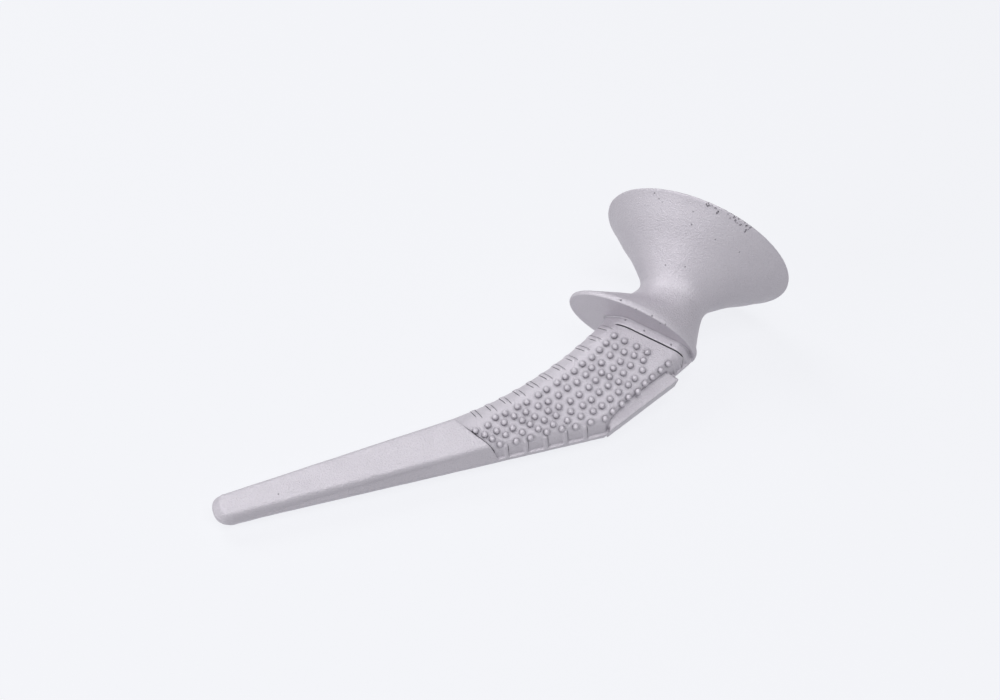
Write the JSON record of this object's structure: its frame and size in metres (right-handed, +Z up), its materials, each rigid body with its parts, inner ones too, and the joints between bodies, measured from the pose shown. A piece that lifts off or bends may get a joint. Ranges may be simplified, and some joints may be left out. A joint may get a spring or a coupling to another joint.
{
  "type": "hip stem casting",
  "caption": "Raw one-piece metal casting of a collared hip stem: flat tapering blade, beaded upper zone, oval collar, waisted neck and a broad flared gate.",
  "frame": {"origin": "bottom centre of the bounding box, on the surface the casting lies on", "axes": "+Z up as it lies at rest on its lower face and the rim of its flare, +X along the blade from its tip towards the collar and the flare, +Y towards the inner side that the neck leans to"},
  "size_m": [0.191, 0.0698, 0.0577],
  "materials": {
    "cast_metal": "matte blasted casting skin"
  },
  "bodies": {
    "root": {"stem_casting": "cast_metal"}
  },
  "joints": []
}
